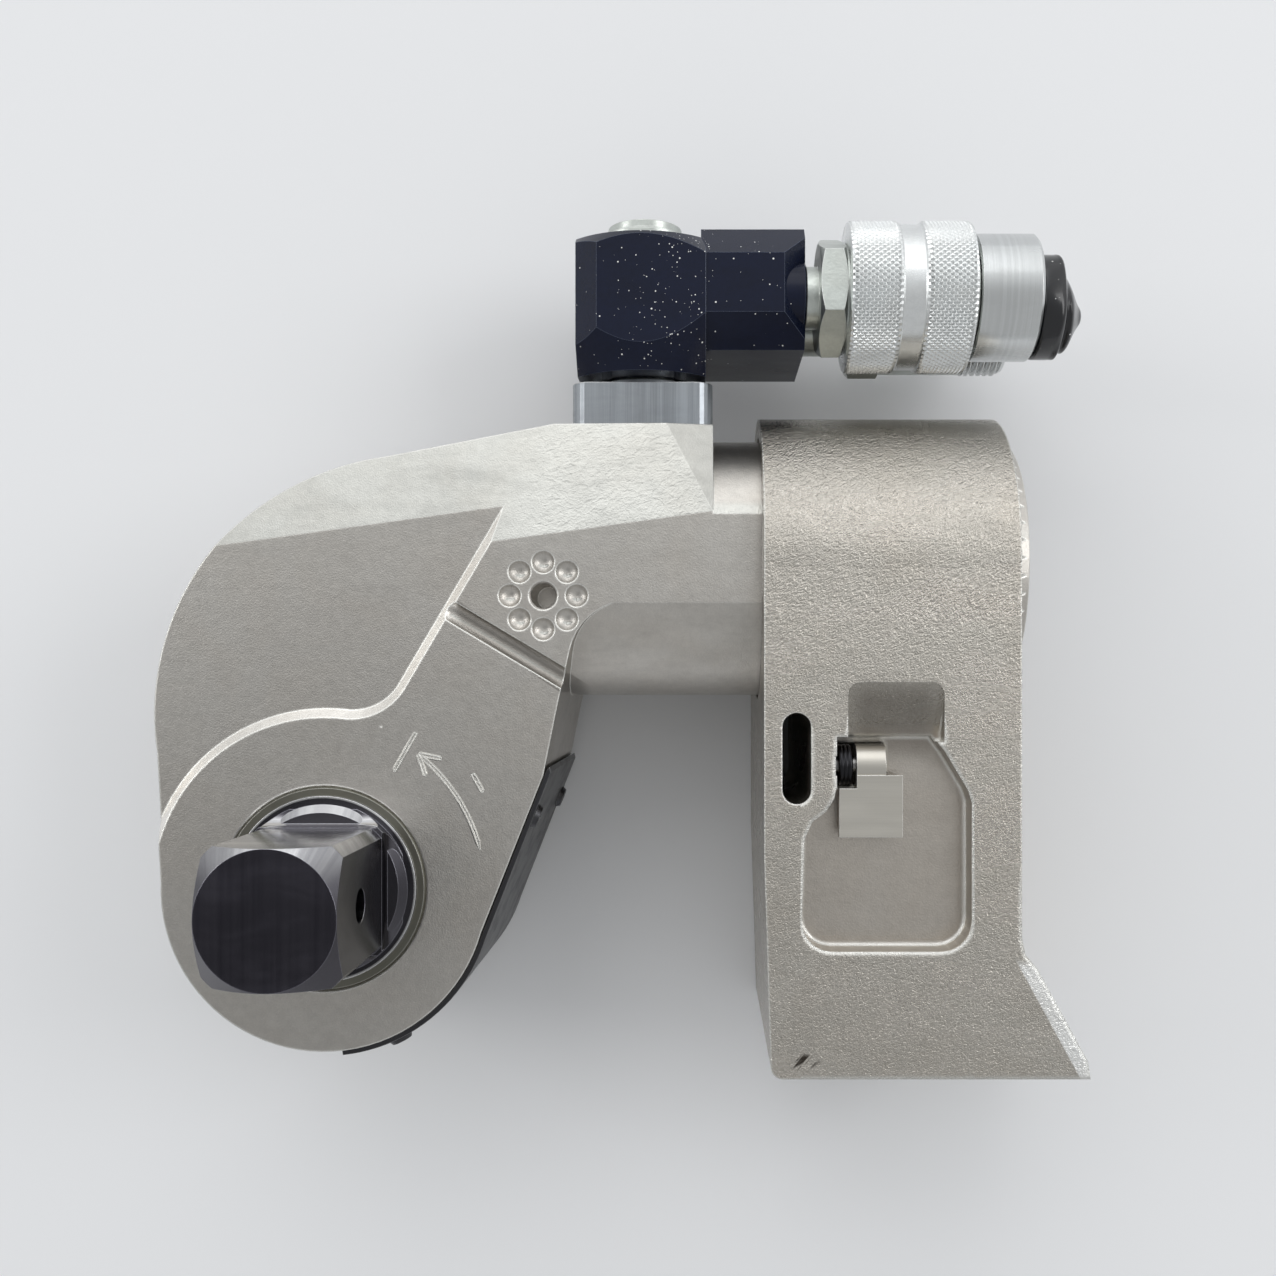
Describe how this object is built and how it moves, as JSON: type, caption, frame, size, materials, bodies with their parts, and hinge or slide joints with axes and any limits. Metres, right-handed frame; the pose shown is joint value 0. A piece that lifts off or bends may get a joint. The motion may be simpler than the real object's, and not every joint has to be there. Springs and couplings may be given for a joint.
{
  "type": "hydraulic torque wrench",
  "caption": "Square-drive hydraulic torque wrench with a splined cylinder, a slide-on reaction arm and a swivel block that carries two hose couplings.",
  "frame": {"origin": "on the drive axis, in the plane of the square drive's shoulder", "axes": "+Z out along the square drive, +X along the cylinder towards its end, +Y from the drive axis towards the cylinder and the swivel; the tool lies on its back side with the drive up"},
  "size_m": [0.1926, 0.1792, 0.0943],
  "materials": {
    "head_steel": "blasted and nickel plated",
    "cast_arm": "cast grain, nickel plated",
    "bright_steel": "turned, bright",
    "dark_steel": "black oxide, polished",
    "machined_steel": "machined",
    "bush_bronze": "bronze bushing",
    "black_anodised": "black anodised, satin",
    "seal_rubber": "moulded",
    "plug_rubber": "glossy black",
    "spring_steel": "black spring wire"
  },
  "bodies": {
    "head": {"housing": "head_steel", "front_bush": "bush_bronze", "rear_bush": "bush_bronze", "shroud": "dark_steel", "shroud_screws": "dark_steel", "rod_gland": "bush_bronze", "rod_seal": "seal_rubber", "end_cap": "machined_steel", "cap_seal": "seal_rubber", "swivel_base": "bright_steel", "base_screws": "dark_steel", "swivel_post": "bright_steel", "post_seals": "seal_rubber", "post_ring": "spring_steel"},
    "piston": {"piston_head": "machined_steel", "piston_seal": "seal_rubber", "piston_rod": "bright_steel", "rod_pin": "machined_steel"},
    "lever": {"drive_plate_front": "machined_steel", "drive_plate_back": "machined_steel", "lever_spacer": "machined_steel", "spacer_pins": "machined_steel", "pawl_spring": "spring_steel"},
    "pawl": {"drive_pawl": "machined_steel"},
    "ratchet": {"ratchet_wheel": "machined_steel", "retainer_cap": "dark_steel", "button_spring": "spring_steel"},
    "drive": {"square_drive": "dark_steel"},
    "button": {"release_button": "bright_steel"},
    "arm": {"reaction_arm": "cast_arm", "lever_pin": "machined_steel", "lever_spring": "spring_steel"},
    "arm_lever": {"lock_lever": "head_steel"},
    "plunger": {"lock_plunger": "machined_steel"},
    "swivel": {"swivel_block": "black_anodised", "front_fitting": "bright_steel", "front_nose": "bright_steel", "rear_fitting": "bright_steel", "rear_nose": "bright_steel", "rear_poppet": "machined_steel"},
    "collar": {"front_collar": "bright_steel"},
    "plug": {"dust_plug": "plug_rubber"}
  },
  "joints": [
    {"name": "piston_stroke", "type": "slide", "parent": "head", "child": "piston", "axis": [-1, 0, 0], "range_m": [0, 0.018]},
    {"name": "lever_swing", "type": "hinge", "parent": "head", "child": "lever", "pos_m": [0, 0, 0], "axis": [0, 0, 1], "range_deg": [0, 15.31]},
    {"name": "pawl_lift", "type": "slide", "parent": "lever", "child": "pawl", "axis": [0.1331, 0.9911, 0], "range_m": [0, 0.0022], "stiffness_N_per_m": 2000, "deforming": ["pawl_spring"]},
    {"name": "drive_spin", "type": "hinge", "parent": "lever", "child": "ratchet", "pos_m": [0, 0, 0], "axis": [0, 0, 1], "continuous": true},
    {"name": "drive_withdraw", "type": "slide", "parent": "ratchet", "child": "drive", "axis": [0, 0, 1], "range_m": [0, 0.06]},
    {"name": "button_press", "type": "slide", "parent": "ratchet", "child": "button", "axis": [0, 0, 1], "range_m": [0, 0.0015], "stiffness_N_per_m": 3000, "deforming": ["button_spring"]},
    {"name": "arm_slide", "type": "slide", "parent": "head", "child": "arm", "axis": [1, 0, 0], "range_m": [0, 0.056]},
    {"name": "lever_press", "type": "hinge", "parent": "arm", "child": "arm_lever", "pos_m": [0.1103, 0.0253, 0.0014], "axis": [1, 0, 0], "range_deg": [0, 12], "stiffness_Nm_per_rad": 0.02},
    {"name": "plunger_lift", "type": "slide", "parent": "arm", "child": "plunger", "axis": [0, -0.866, 0.5], "range_m": [0, 0.00065], "stiffness_N_per_m": 200},
    {"name": "swivel_turn", "type": "hinge", "parent": "head", "child": "swivel", "pos_m": [0.064, 0.12, -0.027], "axis": [0, 1, 0], "continuous": true},
    {"name": "collar_spin", "type": "hinge", "parent": "swivel", "child": "collar", "pos_m": [0.115, 0.12371, -0.014], "axis": [1, 0, 0], "continuous": true},
    {"name": "plug_pull", "type": "slide", "parent": "swivel", "child": "plug", "axis": [1, 0, 0], "range_m": [0, 0.02]}
  ],
  "couplings": [
    {"joint": "lever_swing", "follows": "piston_stroke", "rad_per_m": 14.838},
    {"joint": "lever_press", "follows": "plunger_lift", "rad_per_m": 322.2}
  ]
}
